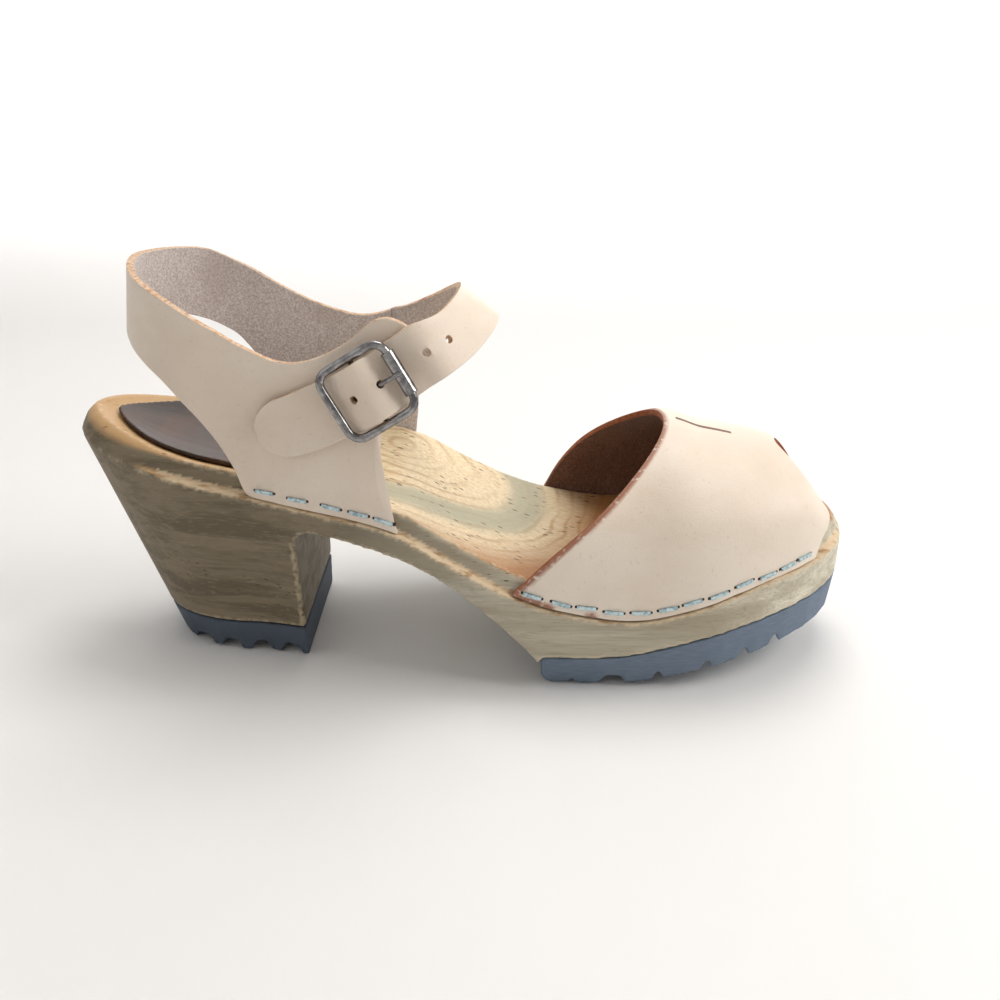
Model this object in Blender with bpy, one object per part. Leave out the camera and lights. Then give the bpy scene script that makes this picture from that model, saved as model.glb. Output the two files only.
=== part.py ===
"""Open-toe clog, right shoe: wooden base with heel, rubber treads, stapled leather upper, buckled instep strap.

Metres. +X points to the toe, +Y to the inner side of the foot, +Z up.
The pieces are worked out with x measured from the back of the heel, and the
empty "clog" then moves them so that the middle of the heel tread is the origin.
"""
import math

import bmesh
import bpy
from mathutils import Vector

# Driving dimensions
LENGTH = 0.2495              # wooden base, heel back to toe tip
BALL_WIDTH = 0.0865          # wooden base across the ball
BALL_LEDGE = 0.0237          # height of the ledge at the ball, above the floor
HEEL_RISE = 0.0499           # ledge at the heel back, above the ledge at the ball
TOE_SPRING = 0.0142          # ledge at the toe tip, above the ledge at the ball
RIM = 0.0065                 # top edge of the wood above the ledge
REBATE = 0.0032              # width of the ledge
HEEL_ROUND = 0.0435          # length of the round back of the base
TOE_ROUND = 0.050            # length of the round toe of the base
CUP_DEPTH = 0.0042           # hollow of the footbed at the heel seat
HEEL_LENGTH = 0.0722         # heel back to the breast of the heel
BREAST_ROUND = 0.0051         # radius between the heel's breast and the arch
HEEL_RAKE = 0.0245           # how far the heel's back leans forward down to the floor
HEEL_TAPER = 0.27            # narrowing of the heel down to the floor, as a share
HEEL_RUBBER = 0.0113         # thickness of the heel tread
FORE_START = LENGTH * 0.596   # back edge of the forefoot tread
FORE_CORNER = 0.0010          # step of the wood in front of the forefoot tread's back edge
FORE_RUBBER = 0.0120         # thickness of the forefoot tread
FORE_TAPER = 0.0050          # how far the tread's side leans in, from the wood down to the floor
TREAD_LIFT = 0.0142          # underside of the tread at the toe tip, above the floor
LUG_PITCH = HEEL_LENGTH / 7   # spacing of the heel lugs
LUG_GROOVE = 0.0033          # radius of the round grooves between them
LUG_DEPTH = 0.0036           # depth of the grooves between lugs
GROOVE_WIDTH = 0.0042        # mouth of a forefoot groove
GROOVE_REACH = 0.016         # length of a side groove, in from the edge
GAP = 0.0003                 # clearance between pieces that touch
LEATHER = 0.0022             # thickness of the upper
VAMP_HEIGHT = 0.0490         # vamp's highest section above the ledge
BAND_HEIGHT = 0.0745         # top of the heel band above the ledge at the front of the wings
BAND_LEAN = 0.0110           # how far the band's back leans forward over its height
ANKLE_WIDTH = 0.0660         # upper across the ankle, at its top edge
BAND_BACK = 0.0230           # heel back to the top edge of the heel band
STRAP_WIDTH = 0.0180         # instep strap
STRAP_HOLE = 0.0024          # diameter of a strap hole
HOLE_PITCH = 0.0086          # spacing of the strap holes
FRAME_LENGTH = 0.0240        # buckle frame along the strap, outside
FRAME_PLAY = 0.0005          # room between the strap and each side of the frame
FRAME_RISE = 0.0006          # room under the flat frame for the curve of the ankle
FRAME_WIRE = 0.0026          # thickness of the frame's wire
FRAME_CORNER = 0.0040        # radius of the frame's corners, at the middle of the wire
BAR_WIRE = 0.0018            # thickness of the centre bar
ROLLER = 0.0040              # diameter of the roller
PRONG_WIRE = 0.0014          # thickness of the prong
TAB = 0.0008                 # thickness of the tab that holds the buckle
TAB_LENGTH = 0.0072          # tab, from the centre bar to its end
PAD_THICKNESS = 0.0018       # heel pad
PAD_FRONT = HEEL_LENGTH * 1.136  # heel back to the front edge of the heel pad
RIVET_CAP = 0.0046           # diameter of the rivet's cap, under the strap
RIVET_HEAD = 0.0074          # diameter of the rivet's head, inside the shoe
RIVET_SHANK = 0.0030         # diameter of the rivet's shank
RIVET_FLANGE = 0.0005        # thickness of the rivet's cap and head

STATION = 0.0070              # step between the cross-sections of the wood and the treads
TREAD_MIDDLE = HEEL_LENGTH * 0.7064  # heel back to the middle of the heel tread, the origin
WING_FRONT = 0.40            # share of LENGTH at which the quarter's heights start from the ledge
LATERAL, MEDIAL = -1, 1

# Base: along as a share of LENGTH, half widths as shares of BALL_WIDTH,
# rise as a share of HEEL_RISE and spring as a share of TOE_SPRING
BASE = (
    # along, lateral, medial, rise, spring
    (0.000, 0.345, 0.340, 1.000, 0.00),
    (0.100, 0.350, 0.350, 0.872, 0.00),
    (0.200, 0.362, 0.362, 0.756, 0.00),
    (0.300, 0.414, 0.392, 0.673, 0.00),
    (0.363, 0.445, 0.412, 0.625, 0.00),
    (0.420, 0.464, 0.430, 0.545, 0.00),
    (0.482, 0.486, 0.447, 0.367, 0.00),
    (0.558, 0.514, 0.457, 0.176, 0.00),
    (0.614, 0.530, 0.463, 0.082, 0.01),
    (0.713, 0.532, 0.468, 0.000, 0.06),
    (0.785, 0.522, 0.466, 0.000, 0.32),
    (0.853, 0.492, 0.452, 0.000, 0.70),
    (0.930, 0.468, 0.446, 0.000, 0.93),
    (1.000, 0.455, 0.440, 0.000, 1.00),
)
# Hollow of the footbed as a share of CUP_DEPTH, and how square its cross-section is
FOOTBED = (
    # along, hollow, square
    (0.00, 0.30, 2.6),
    (0.12, 0.95, 2.8),
    (0.25, 1.00, 2.6),
    (0.42, 0.60, 2.0),
    (0.60, 0.55, 2.0),
    (0.75, 0.60, 2.4),
    (0.90, 0.35, 2.4),
    (1.00, 0.15, 2.0),
)
# Underside of the wood from the heel's breast to the forefoot tread
SHANK = (
    # share of the way, height as a share of BALL_LEDGE
    (0.000, 2.068),
    (0.152, 2.000),
    (0.390, 1.800),
    (0.560, 1.555),
    (0.730, 1.180),
    (0.908, 0.700),
    (1.000, 0.397),
)
# Line between wood and forefoot rubber, and the tread's underside, as a share of TREAD_LIFT
FORE_GROOVES = (
    # along as a share of LENGTH, mouth as a share of GROOVE_WIDTH, roof as a share of the mouth
    (0.636, 0.55, 0.10),
    (0.687, 1.90, 0.55),
    (0.744, 1.00, 0.10),
    (0.804, 1.00, 0.10),
    (0.852, 1.00, 0.10),
    (0.894, 1.00, 0.10),
)
SEAM = (
    # along, seam over FORE_RUBBER, tread
    (0.592, -0.020, 0.000),
    (0.680, -0.005, 0.000),
    (0.725, 0.004, 0.110),
    (0.787, 0.008, 0.380),
    (0.855, 0.006, 0.640),
    (0.930, -0.010, 0.870),
    (1.000, -0.030, 1.000),
)
# Vamp: start and end along the foot and the crown of the arch, by angle over the foot
VAMP_EDGES = (
    # turn, throat, front, both as shares of LENGTH
    (0.00, 0.557, 0.944),
    (0.10, 0.604, 0.961),
    (0.20, 0.656, 0.965),
    (0.30, 0.700, 0.956),
    (0.40, 0.736, 0.932),
    (0.50, 0.755, 0.905),
    (0.60, 0.745, 0.918),
    (0.70, 0.705, 0.944),
    (0.80, 0.664, 0.958),
    (0.90, 0.630, 0.962),
    (1.00, 0.598, 0.956),
)
VAMP_CROWN = (
    # along, height as a share of VAMP_HEIGHT
    (0.55, 0.90),
    (0.66, 0.98),
    (0.75, 1.00),
    (0.81, 0.840),
    (0.855, 0.715),
    (0.905, 0.610),
    (0.935, 0.480),
    (0.960, 0.330),
    (1.000, 0.260),
)
# Quarter pattern, flat on the side of the foot: low edge and top edge of each row.
# Heights are shares of BAND_HEIGHT above the ledge at the wing, bow draws the row back
LATERAL_ROWS = (
    # low along, low height, top along, top height, bow (along: shares of LENGTH)
    (0.420, -1.0, 0.440, 0.815, -0.0310),
    (0.408, -1.0, 0.422, 0.846, -0.0200),
    (0.392, -1.0, 0.400, 0.836, -0.0110),
    (0.368, -1.0, 0.368, 0.748, -0.0040),
    (0.343, -1.0, 0.335, 0.694, 0.0),
    (0.317, -1.0, 0.307, 0.671, 0.0),
    (0.288, -1.0, 0.279, 0.683, 0.0),
    (0.260, -1.0, 0.257, 0.716, 0.0),
    (0.234, -1.0, 0.235, 0.752, 0.0),
    (0.224, 0.214, 0.222, 0.782, 0.0),
    (0.208, 0.322, 0.206, 0.812, 0.0),
    (0.187, 0.430, 0.187, 0.850, 0.0),
    (0.148, 0.577, 0.154, 0.910, 0.0),
    (0.112, 0.655, 0.120, 0.954, 0.0),
    (0.088, 0.712, 0.098, 0.984, 0.0),
)
BACK_ROW = (0.0800, 0.735, 0.0920, 1.0, 0.0)
MEDIAL_ROWS = (
    (0.088, 0.722, 0.098, 0.992, 0.0),
    (0.112, 0.690, 0.120, 0.978, 0.0),
    (0.146, 0.635, 0.152, 0.956, 0.0),
    (0.182, 0.560, 0.182, 0.900, 0.0),
    (0.205, 0.455, 0.206, 0.860, 0.0),
    (0.220, 0.350, 0.222, 0.825, 0.0),
    (0.232, 0.180, 0.240, 0.788, 0.0),
    (0.242, -1.0, 0.258, 0.752, 0.0),
    (0.268, -1.0, 0.285, 0.704, 0.0),
    (0.300, -1.0, 0.318, 0.662, 0.0),
    (0.335, -1.0, 0.345, 0.640, 0.0),
    (0.368, -1.0, 0.366, 0.642, 0.0),
    (0.396, -1.0, 0.384, 0.656, 0.0),
    (0.417, -1.0, 0.397, 0.672, -0.004),
)
# Instep strap from the inner wing over the foot: points of its two edges.
# Along is a share of LENGTH, across of ANKLE_WIDTH, height of BAND_HEIGHT above the wing's ledge
INSTEP_ROWS = (
    # low along, across, height, top along, across, height
    (0.419, 0.545, 0.200, 0.408, 0.455, 0.688),
    (0.424, 0.535, 0.335, 0.421, 0.430, 0.708),
    (0.440, 0.515, 0.452, 0.437, 0.390, 0.736),
    (0.470, 0.465, 0.555, 0.457, 0.320, 0.778),
    (0.502, 0.380, 0.638, 0.476, 0.225, 0.826),
    (0.526, 0.240, 0.708, 0.489, 0.105, 0.866),
    (0.539, 0.060, 0.750, 0.495, -0.035, 0.892),
    (0.542, -0.120, 0.758, 0.496, -0.180, 0.900),
    (0.533, -0.290, 0.732, 0.489, -0.325, 0.884),
    (0.513, -0.430, 0.682, 0.474, -0.450, 0.852),
)
# Strap on the outer side: middle line along the foot and up, half width, lift off the wing
STRAP_ROWS = (
    # along, height above the wing's ledge, half width as a share, lift as a share of the bar height
    (0.466, 0.735, 1.00, 0.00),
    (0.446, 0.690, 1.00, 0.00),
    (0.431, 0.655, 1.00, 0.00),
    (0.417, 0.625, 1.00, 0.28),
    (0.405, 0.600, 1.00, 0.84),
    (0.394, 0.577, 1.00, 1.00),
    (0.383, 0.556, 1.00, 0.90),
    (0.371, 0.535, 1.00, 0.58),
    (0.358, 0.513, 1.00, 0.03),
    (0.340, 0.483, 1.00, 0.00),
    (0.318, 0.450, 1.00, 0.00),
    (0.300, 0.427, 1.00, 0.00),
    (0.286, 0.412, 0.94, 0.00),
    (0.274, 0.402, 0.78, 0.00),
    (0.265, 0.396, 0.55, 0.00),
    (0.260, 0.393, 0.28, 0.00),
)


def read(table, column, at):
    """One column of a table at a place along it, on a smooth curve with no overshoot."""
    xs = [row[0] for row in table]
    ys = [row[column] for row in table]
    if at <= xs[0]:
        return ys[0]
    if at >= xs[-1]:
        return ys[-1]
    steps = [(ys[i + 1] - ys[i]) / (xs[i + 1] - xs[i]) for i in range(len(xs) - 1)]
    slopes = [steps[0]]
    for before, after in zip(steps, steps[1:]):
        slopes.append(0.0 if before * after <= 0 else 2 * before * after / (before + after))
    slopes.append(steps[-1])
    i = max(k for k in range(len(steps)) if xs[k] <= at)
    width = xs[i + 1] - xs[i]
    t = (at - xs[i]) / width
    curve = (2 * t ** 3 - 3 * t ** 2 + 1) * ys[i] + (3 * t ** 2 - 2 * t ** 3) * ys[i + 1]
    return curve + width * ((t ** 3 - 2 * t ** 2 + t) * slopes[i] + (t ** 3 - t ** 2) * slopes[i + 1])


def ease(t):
    t = min(max(t, 0.0), 1.0)
    return t * t * (3 - 2 * t)


def mix(a, b, t):
    return a + (b - a) * t


def ledge(x):
    """Height of the ledge that carries the upper."""
    share = x / LENGTH
    return BALL_LEDGE + HEEL_RISE * read(BASE, 3, share) + TOE_SPRING * read(BASE, 4, share)


def outline(x, side):
    """Outer edge of the base in plan, at the ledge."""
    x = min(max(x, 0.0), LENGTH)
    wide = BALL_WIDTH * read(BASE, 1 if side == LATERAL else 2, x / LENGTH)
    if x < HEEL_ROUND:
        wide *= math.sqrt(max(1 - (1 - x / HEEL_ROUND) ** 2, 0.0))
    if LENGTH - x < TOE_ROUND:
        wide *= math.sqrt(max(1 - (1 - (LENGTH - x) / TOE_ROUND) ** 2, 0.0))
    return Vector((x, side * wide))


def rim(x, side, inset):
    """The outline moved inwards by inset, measured square to it."""
    step = LENGTH / 5000
    before = outline(max(x - step, 0.0), side)
    after = outline(min(x + step, LENGTH), side)
    along = (after - before).normalized()
    inward = Vector((along.y, -along.x)) * side
    return outline(x, side) + inward * inset


def flank(x, side, z):
    """Side of the wood and rubber at the height z: the heel tapers and leans, the rest is upright."""
    edge = outline(x, side)
    drop = (ledge(x) - z) / ledge(x)
    narrow = 1 - HEEL_TAPER * drop * (1 - ease((x - HEEL_LENGTH) / (FORE_START - HEEL_LENGTH) * 2))
    lean = HEEL_RAKE * drop * max(1 - x / HEEL_LENGTH, 0.0)
    return Vector((edge.x + lean, edge.y * narrow, z))


def stations(start, end, middle_step):
    """Places along the base, closer together in its round ends."""
    places = []
    for degrees in (5, 14, 24, 34, 45, 57, 70, 84):
        back = 1 - math.cos(math.radians(degrees))
        places.append(HEEL_ROUND * back)
        places.append(LENGTH - TOE_ROUND * back)
    count = round((LENGTH - TOE_ROUND - HEEL_ROUND) / middle_step)
    for i in range(count + 1):
        places.append(mix(HEEL_ROUND, LENGTH - TOE_ROUND, i / count))
    return sorted(x for x in places if start <= x <= end)


def chamfer(x):
    """How far the ledge turns into a cut edge: fully at the heel back and the toe tip."""
    heel = 1 - ease((x - HEEL_ROUND * 0.25) / (HEEL_ROUND * 0.75))
    toe = 1 - ease((LENGTH - x) / (TOE_ROUND * 0.13))
    return max(heel, toe)


def footbed(x, across):
    """Top of the wood: across runs from -1 at the outer edge to 1 at the inner edge."""
    inset = REBATE * mix(1.25, 2.0, chamfer(x))
    outer = rim(x, LATERAL, inset)
    inner = rim(x, MEDIAL, inset)
    plan = outer.lerp(inner, (across + 1) / 2)
    share = x / LENGTH
    hollow = CUP_DEPTH * read(FOOTBED, 1, share)
    square = read(FOOTBED, 2, share)
    height = ledge(x) + RIM - hollow * (1 - abs(across) ** square)
    return Vector((plan.x, plan.y, height))


def edge_profile(x):
    """Inset and height above the ledge of the wood's upper edge, from the footbed out to the side."""
    cut = chamfer(x)
    return (
        (REBATE * mix(1.06, 1.25, cut), RIM * mix(0.93, 0.86, cut)),
        (REBATE * mix(1.00, 0.62, cut), RIM * mix(0.80, 0.55, cut)),
        (REBATE * mix(1.00, 0.22, cut), RIM * mix(0.00, 0.14, cut)),
    )


def new_object(name, verts, faces, material, smooth_angle=35):
    mesh = bpy.data.meshes.new(name)
    mesh.from_pydata([tuple(v) for v in verts], [], faces)
    work = bmesh.new()
    work.from_mesh(mesh)
    bmesh.ops.recalc_face_normals(work, faces=work.faces)
    if work.calc_volume(signed=True) < 0:
        bmesh.ops.reverse_faces(work, faces=work.faces)
    work.to_mesh(mesh)
    work.free()
    piece = bpy.data.objects.new(name, mesh)
    bpy.context.collection.objects.link(piece)
    if material:
        mesh.materials.append(material)
        mesh.shade_smooth()
        mesh.set_sharp_from_angle(angle=math.radians(smooth_angle))
    return piece


def paint(name, colour, roughness, metallic=0.0):
    material = bpy.data.materials.new(name)
    material.use_nodes = True
    shader = material.node_tree.nodes["Principled BSDF"]
    shader.inputs["Base Color"].default_value = (*colour, 1.0)
    shader.inputs["Roughness"].default_value = roughness
    shader.inputs["Metallic"].default_value = metallic
    material.diffuse_color = (*colour, 1.0)
    return material


def skin_rows(rows, closed_across=True):
    """Faces that join rows of points, with each end row closed by a face."""
    wide = len(rows[0])
    verts = [p for row in rows for p in row]
    faces = []
    for i in range(len(rows) - 1):
        for j in range(wide if closed_across else wide - 1):
            k = (j + 1) % wide
            faces.append((i * wide + j, i * wide + k, (i + 1) * wide + k, (i + 1) * wide + j))
    faces.append(tuple(range(wide)))
    faces.append(tuple((len(rows) - 1) * wide + j for j in range(wide)))
    return verts, faces


def prism(name, points, half_width):
    """A side profile, as (x, z) points, drawn out across the shoe."""
    count = len(points)
    verts = [(x, -half_width, z) for x, z in points] + [(x, half_width, z) for x, z in points]
    faces = [tuple(range(count)), tuple(range(2 * count - 1, count - 1, -1))]
    for i in range(count):
        k = (i + 1) % count
        faces.append((i, k, count + k, count + i))
    return new_object(name, verts, faces, None)


def cut(piece, tool, operation="DIFFERENCE"):
    """A Boolean that stays on the piece, with its tool hidden."""
    change = piece.modifiers.new(tool.name, "BOOLEAN")
    change.operation = operation
    change.solver = "EXACT"
    change.object = tool
    tool.hide_render = True
    tool.display_type = "WIRE"


def seam_line(x):
    """Height of the line between the wood and the forefoot rubber."""
    share = x / LENGTH
    return FORE_RUBBER + BALL_LEDGE * read(SEAM, 1, share) + TREAD_LIFT * read(SEAM, 2, share)


def tread_line(x):
    return TREAD_LIFT * read(SEAM, 2, x / LENGTH)


def fore_stations():
    return [mix(FORE_START, LENGTH * 1.04, i / 14) for i in range(15)]


def underside(clearance):
    """Side profile of everything under the wood, clear of it by clearance."""
    deep = -BALL_LEDGE
    breast_top = BALL_LEDGE * SHANK[0][1]
    notch = BREAST_ROUND
    points = [(-HEEL_ROUND, deep), (-HEEL_ROUND, HEEL_RUBBER - clearance)]
    points.append((HEEL_LENGTH, HEEL_RUBBER - clearance))
    for i in range(7):
        turn = math.radians(90 * i / 6)
        points.append((HEEL_LENGTH + notch * (1 - math.cos(turn)), breast_top - notch * (1 - math.sin(turn))))
    for i in range(1, 15):
        x = mix(HEEL_LENGTH + BREAST_ROUND, FORE_START - FORE_CORNER, i / 14)
        points.append((x, BALL_LEDGE * read(SHANK, 1, i / 14)))
    points.extend((x, seam_line(x) - clearance) for x in fore_stations())
    points.append((LENGTH * 1.04, deep))
    return points


def make_base(material):
    """The wooden base: blank with footbed and ledge, then the underside is cut away."""
    across = [-1, -0.9, -0.72, -0.48, -0.24, 0, 0.24, 0.48, 0.72, 0.9, 1]
    rows = []
    for x in stations(0, LENGTH, STATION):
        top = [footbed(x, t) for t in across]
        sides = {}
        for side in (LATERAL, MEDIAL):
            column = []
            for inset, rise in edge_profile(x):
                plan = rim(x, side, inset)
                column.append(Vector((plan.x, plan.y, ledge(x) + rise)))
            edge = outline(x, side)
            column.append(Vector((edge.x, edge.y, ledge(x))))
            column.append(flank(x, side, -BALL_LEDGE / 4))
            sides[side] = column
        rows.append(sides[LATERAL][::-1] + top + sides[MEDIAL])
    wide = len(rows[0])
    levels = len(sides[LATERAL])
    verts, faces = skin_rows(rows)
    faces = faces[:-2]
    for start in (0, (len(rows) - 1) * wide):
        for k in range(levels - 1):
            faces.append((start + k, start + k + 1, start + wide - 2 - k, start + wide - 1 - k))
        faces.append(tuple(start + j for j in range(levels - 1, wide - levels + 1)))
    base = new_object("wood_base", verts, faces, material, 30)
    cut(base, prism("underside_cutter", underside(0.0), BALL_WIDTH))
    return base


def tread_side(x, side, height, taper):
    """Side of a tread: flush with the wood above it, and leaning in by taper down to its underside."""
    top = seam_line(x)
    edge = flank(x, side, height)
    inward = rim(x, side, 1.0) - rim(x, side, 0.0)
    lean = taper * min(max((top - height) / FORE_RUBBER, 0.0), 1.5)
    return edge + Vector((inward.x, inward.y, 0)) * lean


def make_block(name, material, start, end, taper):
    """The shoe's outline as a block around the height of the treads."""
    rows = []
    for x in stations(start, end, STATION):
        middle = seam_line(x)
        heights = (middle - FORE_RUBBER * 1.5, middle, middle + BALL_LEDGE / 3)
        lean = taper * mix(1.0, 0.25, ease((x - FORE_START) / (LENGTH - FORE_START) * 1.6))
        row = [tread_side(x, LATERAL, height, lean) for height in heights]
        row.extend(tread_side(x, MEDIAL, height, lean) for height in heights[::-1])
        rows.append(row)
    verts, faces = skin_rows(rows)
    return new_object(name, verts, faces, material, 30)


def make_heel_tread(material):
    """Rubber under the heel, with round grooves between the lugs along both sides."""
    tread = make_block("heel_outsole", material, 0, LENGTH / 2, 0.0)
    top = HEEL_RUBBER - GAP
    body = [(-HEEL_ROUND, 0), (-HEEL_ROUND, top), (HEEL_LENGTH, top), (HEEL_LENGTH, 0)]
    cut(tread, prism("heel_tread_guide", body, BALL_WIDTH), "INTERSECT")
    verts, faces = [], []
    for side in (LATERAL, MEDIAL):
        for i in (-1.5, -0.5, 0.5, 1.5):
            middle = TREAD_MIDDLE + LUG_PITCH * i
            reach = flank(HEEL_LENGTH, side, 0).y - side * GROOVE_REACH * 0.75
            rings = []
            for y in (reach, side * BALL_WIDTH):
                ring = []
                for k in range(9):
                    turn = math.pi * k / 8
                    half = LUG_GROOVE
                    ring.append((middle + half * math.cos(turn), y, LUG_DEPTH * math.sin(turn)))
                ring.append((middle - LUG_GROOVE, y, -LUG_DEPTH))
                ring.append((middle + LUG_GROOVE, y, -LUG_DEPTH))
                rings.append(ring)
            more, sheets = skin_rows(rings)
            faces.extend(tuple(len(verts) + k for k in face) for face in sheets)
            verts.extend(more)
    cut(tread, new_object("heel_groove_cutter", verts, faces, None))
    return tread


def make_fore_tread(material):
    """Rubber under the forefoot, with V grooves at both sides and one wide recess."""
    tread = make_block("forefoot_outsole", material, LENGTH / 2, LENGTH, FORE_TAPER)
    corner = FORE_RUBBER * 0.25
    body = [(FORE_START, FORE_RUBBER * 0.30)]
    body.append((FORE_START + corner * 0.35, corner * 0.3))
    body.append((FORE_START + corner, 0))
    xs = [x for x in fore_stations() if x > FORE_START + corner * 2]
    body.extend((x, tread_line(x)) for x in xs)
    body.extend((x, seam_line(x) - GAP) for x in fore_stations()[::-1])
    cut(tread, prism("fore_tread_guide", body, BALL_WIDTH), "INTERSECT")
    verts, faces = [], []
    for place, width, roof_share in FORE_GROOVES:
        middle = LENGTH * place
        low = tread_line(middle)
        mouth = GROOVE_WIDTH * width / 2
        roof = mouth * roof_share
        for side in (LATERAL, MEDIAL):
            edge = outline(middle, side).y
            rings = []
            for y in (edge - side * GROOVE_REACH, edge + side * GROOVE_REACH):
                rings.append([
                    (middle - mouth * 1.6, y, low - LUG_DEPTH),
                    (middle - roof, y, low + LUG_DEPTH),
                    (middle + roof, y, low + LUG_DEPTH),
                    (middle + mouth * 1.6, y, low - LUG_DEPTH),
                ])
            more, sheets = skin_rows(rings)
            faces.extend(tuple(len(verts) + k for k in face) for face in sheets)
            verts.extend(more)
    cut(tread, new_object("fore_groove_cutter", verts, faces, None))
    return tread


def make_pad(material):
    """Thin heel pad that lies in the cup of the footbed."""
    back = HEEL_ROUND * 0.17
    rows = []
    for i in range(15):
        x = mix(back, PAD_FRONT, 1 - math.cos(math.pi / 2 * i / 14))
        end = min((x - back) / (HEEL_ROUND * 0.62), 1.0)
        front = min((PAD_FRONT - x) / (HEEL_ROUND * 0.45), 1.0)
        wide = 0.86 * math.sqrt(max(1 - (1 - end) ** 2, 0.02)) * math.sqrt(max(1 - (1 - front) ** 2, 0.02))
        low, high = [], []
        for k in range(9):
            spot = footbed(x, wide * mix(-1, 1, k / 8))
            low.append(spot + Vector((0, 0, GAP)))
            high.append(spot + Vector((0, 0, GAP + PAD_THICKNESS)))
        rows.append(low + high[::-1])
    verts, faces = skin_rows(rows)
    return new_object("heel_pad", verts, faces, material, 40)


def refined(rows):
    """The rows with one more between each two, on a smooth curve through them."""
    found = []
    last = len(rows) - 1
    for i in range(last):
        found.append(rows[i])
        four = (rows[max(i - 1, 0)], rows[i], rows[i + 1], rows[min(i + 2, last)])
        found.append([(b + c) * 0.5625 - (a + d) * 0.0625 for a, b, c, d in zip(*four)])
    found.append(rows[last])
    return found


def normals_of(grid):
    """Unit normal into the shoe at each point of a grid of rows, by its neighbours."""
    found = []
    for i, row in enumerate(grid):
        line = []
        for j in range(len(row)):
            along = grid[min(i + 1, len(grid) - 1)][j] - grid[max(i - 1, 0)][j]
            over = row[min(j + 1, len(row) - 1)] - row[max(j - 1, 0)]
            line.append(along.cross(over).normalized())
        found.append(line)
    return found


def wall_from(grid, thickness):
    """Closed wall: the grid is its outer face, the inner face lies a thickness behind it."""
    normals = normals_of(grid)
    rows = []
    for row, line in zip(grid, normals):
        inner = [p + n * thickness for p, n in zip(row, line)]
        rows.append(list(row) + inner[::-1])
    return skin_rows(rows)


def vamp_point(x, turn):
    """Outer face of the vamp: turn runs from 0 at the outer ledge over the foot to 1 at the inner."""
    inset = REBATE - GAP * 2 - LEATHER
    outer = rim(x, LATERAL, inset)
    inner = rim(x, MEDIAL, inset)
    low = ledge(x) + GAP * 1.5
    riser = RIM
    crown = VAMP_HEIGHT * read(VAMP_CROWN, 1, x / LENGTH)
    share = (turn - 0.04) / 0.92
    if share <= 0:
        return Vector((outer.x, outer.y, low + riser * turn / 0.04))
    if share >= 1:
        return Vector((inner.x, inner.y, low + riser * (1 - turn) / 0.04))
    angle = math.pi * share
    power = 2 / 2.3
    aside = math.copysign(abs(math.cos(angle)) ** power, math.cos(angle))
    plan = outer.lerp(inner, (1 - aside) / 2)
    return Vector((plan.x, plan.y, low + riser + (crown - riser) * math.sin(angle) ** power))


def make_vamp(material):
    """The toe piece: one arch over the forefoot, open at the throat, at the toe and underneath."""
    turns = [0, 0.02, 0.04, 0.075, 0.11, 0.16, 0.21, 0.27, 0.33, 0.39, 0.45, 0.5]
    turns += [1 - t for t in turns[-2::-1]]
    rows = []
    for turn in turns:
        throat = LENGTH * read(VAMP_EDGES, 1, turn)
        front = LENGTH * read(VAMP_EDGES, 2, turn)
        rows.append([vamp_point(mix(throat, front, i / 18), turn) for i in range(19)])
    verts, faces = wall_from(rows, LEATHER)
    return new_object("vamp", verts, faces, material, 50)


def ankle(x, side, height):
    """Outer face of the quarter at x on one side, at a height above the wing's ledge."""
    base = ledge(LENGTH * WING_FRONT)
    z = base + BAND_HEIGHT * height
    middle = LENGTH * 0.21
    seat = rim(x, side, REBATE - GAP - LEATHER)
    if x >= middle:
        wide = ANKLE_WIDTH / 2 * (0.97 + 0.05 * ease((x - middle) / (LENGTH * 0.10)))
        top = Vector((x, side * wide))
    else:
        back = BAND_BACK - BAND_LEAN * (1 - height)
        turn = math.acos(min(max((middle - x) / (middle - back), 0.0), 1.0))
        top = Vector((x, side * ANKLE_WIDTH / 2 * 0.97 * math.sin(turn)))
    over = (z - ledge(x) - RIM) / (BAND_HEIGHT * 1.24)
    share = min(2 * ease(min(over, 0.5)), 1.0)
    behind = ease((middle - x) / (LENGTH * 0.06))
    plan = seat.lerp(top, max(share, behind))
    return Vector((plan.x, plan.y, z))


def quarter_row(side, row, steps):
    """Points of one row of the quarter from its low edge to its top edge."""
    low_x, low_h, top_x, top_h, bow = row
    base = ledge(LENGTH * WING_FRONT)
    upright = 0.0
    if low_h < 0:
        low_h = (ledge(LENGTH * low_x) + GAP - base) / BAND_HEIGHT
        upright = RIM * 1.45 / (BAND_HEIGHT * (top_h - low_h))
    points = []
    for k in range(steps):
        t = k / (steps - 1)
        if upright:
            t = mix(upright, 1.0, (k - 1) / (steps - 2)) if k else 0.0
        x = LENGTH * (mix(low_x, top_x, t) + bow * math.sin(math.pi * t ** 0.8))
        points.append(ankle(x, side, mix(low_h, top_h, t)))
    return points


def pattern(rows):
    """The rows with one more between each pair; a row between two on the ledge sits there too."""
    found = []
    for i, row in enumerate(rows):
        found.append(row)
        if i + 1 == len(rows):
            break
        after = rows[i + 1]
        ends = (rows[max(i - 1, 0)], rows[min(i + 2, len(rows) - 1)])
        between = [(a + b) / 2 for a, b in zip(row, after)]
        for k in (2, 3):
            between[k] += (row[k] + after[k] - ends[0][k] - ends[1][k]) / 16
        if (row[1] < 0) != (after[1] < 0):
            seated = row if row[1] < 0 else after
            ledge_height = (ledge(LENGTH * seated[0]) - ledge(LENGTH * WING_FRONT)) / BAND_HEIGHT
            between[1] = (max(row[1], after[1]) + ledge_height) / 2
        found.append(tuple(between))
    return found


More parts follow.
